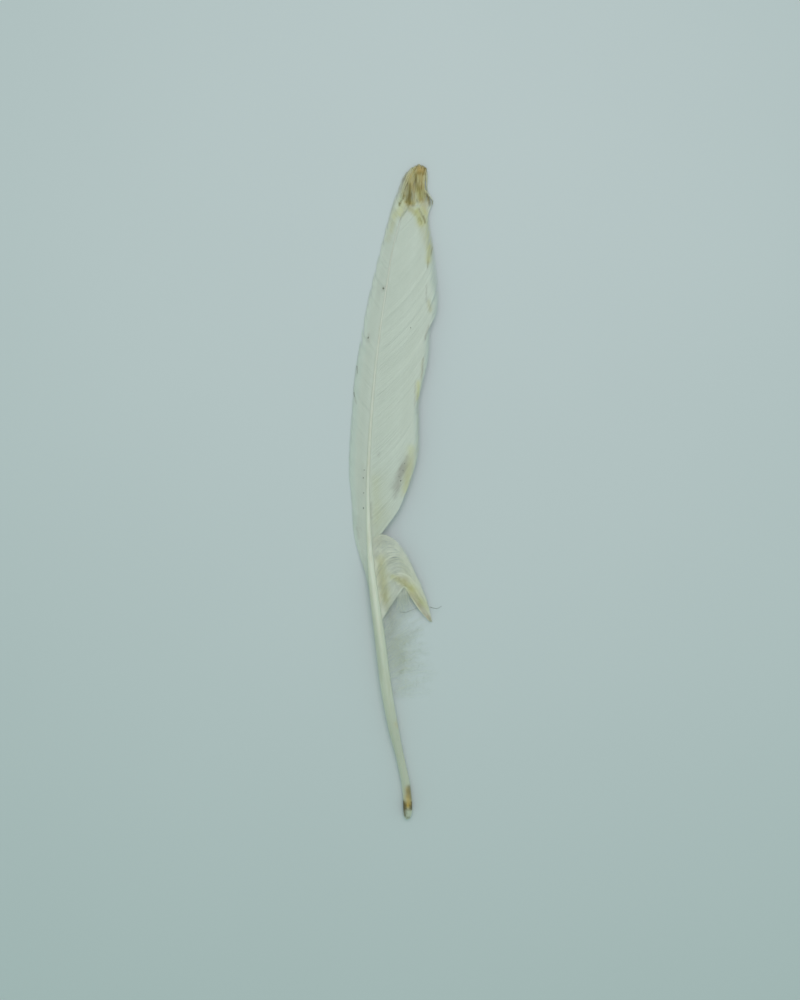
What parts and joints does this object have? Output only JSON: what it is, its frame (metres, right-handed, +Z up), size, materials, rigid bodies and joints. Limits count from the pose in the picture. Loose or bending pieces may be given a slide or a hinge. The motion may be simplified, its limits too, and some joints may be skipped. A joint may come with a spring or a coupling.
{
  "type": "feather",
  "caption": "White wing feather lying with its back up: bare quill, narrow and wide vanes, a matted brown tip and a downy tuft beside the quill.",
  "frame": {"origin": "on the surface that the feather lies on, at the middle of its bounding box", "axes": "+Y along the feather from the end of the quill to the tip, +Z up from the surface, narrow vane on the -X side"},
  "size_m": [0.0319, 0.2303, 0.0052],
  "materials": {
    "feather": "matt white barbs with a silky, slightly glossy horn shaft, stained brown at the tip and at the end of the quill"
  },
  "bodies": {
    "root": {"feather": "feather"}
  },
  "joints": []
}
